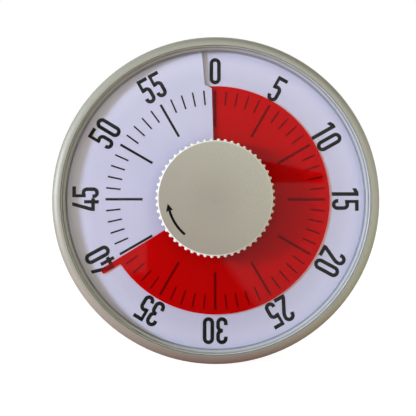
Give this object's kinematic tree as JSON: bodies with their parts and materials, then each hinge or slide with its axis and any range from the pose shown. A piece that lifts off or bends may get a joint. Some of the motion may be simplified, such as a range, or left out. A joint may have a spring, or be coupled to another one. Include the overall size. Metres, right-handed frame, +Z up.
{
  "type": "visual countdown timer",
  "caption": "Round wind-up visual countdown timer: a minute dial and a red disc for the time left under a clear lens, a central turning knob, and a fold-out leg behind.",
  "frame": {"origin": "middle of the timer's bounding box on the surface that it stands on", "axes": "+Z up, +X to the reader's right, -Y towards the reader; the dial leans back 8 degrees and its zero mark is at the top"},
  "size_m": [0.19, 0.0879, 0.1882],
  "materials": {
    "silver_shell": "satin silver paint on moulded plastic",
    "silver_knob": "fine sparkling silver paint, matte",
    "clear_lens": "clear polished plastic",
    "white_dial": "smooth white printed card",
    "red_disc": "translucent red sheet",
    "black_plastic": "plain moulded",
    "grey_leg": "plain moulded",
    "brass": "stamped brass",
    "steel": "turned steel",
    "spring_steel": "blued spring steel",
    "bell_metal": "nickel plate",
    "dark_screws": "black oxide",
    "magnet_grey": "ferrite",
    "rubber": "matt rubber"
  },
  "bodies": {
    "case": {"rear_shell": "silver_shell", "front_bezel": "silver_shell", "lens": "clear_lens", "dial_plate": "white_dial", "back_plate": "brass", "front_plate": "brass", "pillars": "steel", "pillar_nuts": "steel", "movement_screws": "steel", "mainspring": "spring_steel", "spring_post": "steel", "hammer_spring": "spring_steel", "bell": "bell_metal", "bell_post": "steel", "bell_screw": "steel", "case_screws": "dark_screws", "magnets": "magnet_grey", "leg_pin": "steel"},
    "knob_body": {"knob": "silver_knob", "main_arbor": "steel", "great_wheel": "brass", "ratchet_wheel": "steel", "click": "steel", "click_spring": "spring_steel", "alarm_cam": "brass"},
    "disc_body": {"disc_hub": "black_plastic", "time_disc": "red_disc"},
    "second_body": {"second_wheel": "brass"},
    "third_body": {"third_wheel": "brass"},
    "fourth_body": {"fourth_wheel": "brass"},
    "escape_body": {"escape_wheel": "brass"},
    "pallet_body": {"pallet_lever": "steel", "balance_wheel": "brass"},
    "hammer_body": {"hammer_lever": "steel", "hammer_head": "brass"},
    "leg_body": {"stand_leg": "grey_leg", "leg_feet": "rubber"}
  },
  "joints": [
    {"name": "knob_turn", "type": "hinge", "parent": "case", "child": "knob_body", "pos_m": [0, -0.02167, 0.09324], "axis": [0, 0.9903, -0.1392], "range_deg": [-240, 120]},
    {"name": "disc_rise", "type": "slide", "parent": "knob_body", "child": "disc_body", "axis": [0, -0.9903, 0.1392], "range_m": [-0.00187, 0.00093]},
    {"name": "second_turn", "type": "hinge", "parent": "case", "child": "second_body", "pos_m": [-0.02182, -0.00605, 0.10377], "axis": [0, 0.9903, -0.1392], "range_deg": [-720, 1440]},
    {"name": "third_turn", "type": "hinge", "parent": "case", "child": "third_body", "pos_m": [-0.01623, -0.00315, 0.12443], "axis": [0, 0.9903, -0.1392], "range_deg": [-7200, 3600]},
    {"name": "fourth_turn", "type": "hinge", "parent": "case", "child": "fourth_body", "pos_m": [0.00177, -0.00315, 0.12443], "axis": [0, 0.9903, -0.1392], "range_deg": [-18000, 36000]},
    {"name": "escape_turn", "type": "hinge", "parent": "case", "child": "escape_body", "pos_m": [0.01586, -0.00386, 0.11935], "axis": [0, 0.9903, -0.1392], "range_deg": [-144000, 72000]},
    {"name": "pallet_rock", "type": "hinge", "parent": "case", "child": "pallet_body", "pos_m": [0.02528, -0.00478, 0.11282], "axis": [0, 0.9903, -0.1392], "range_deg": [-3, 3]},
    {"name": "hammer_strike", "type": "hinge", "parent": "case", "child": "hammer_body", "pos_m": [0.024, -0.01059, 0.07149], "axis": [0, 0.9903, -0.1392], "range_deg": [0, 4.5], "stiffness_Nm_per_rad": 0.006, "springref_deg": -14.32},
    {"name": "leg_fold", "type": "hinge", "parent": "case", "child": "leg_body", "pos_m": [0, -0.00317, 0.02803], "axis": [1, 0, 0], "range_deg": [0, 112]}
  ],
  "couplings": [
    {"joint": "disc_rise", "follows": "knob_turn", "m_per_rad": 0.00044563},
    {"joint": "second_turn", "follows": "knob_turn", "ratio": -6},
    {"joint": "third_turn", "follows": "knob_turn", "ratio": 30},
    {"joint": "fourth_turn", "follows": "knob_turn", "ratio": -150},
    {"joint": "escape_turn", "follows": "knob_turn", "ratio": 600}
  ]
}
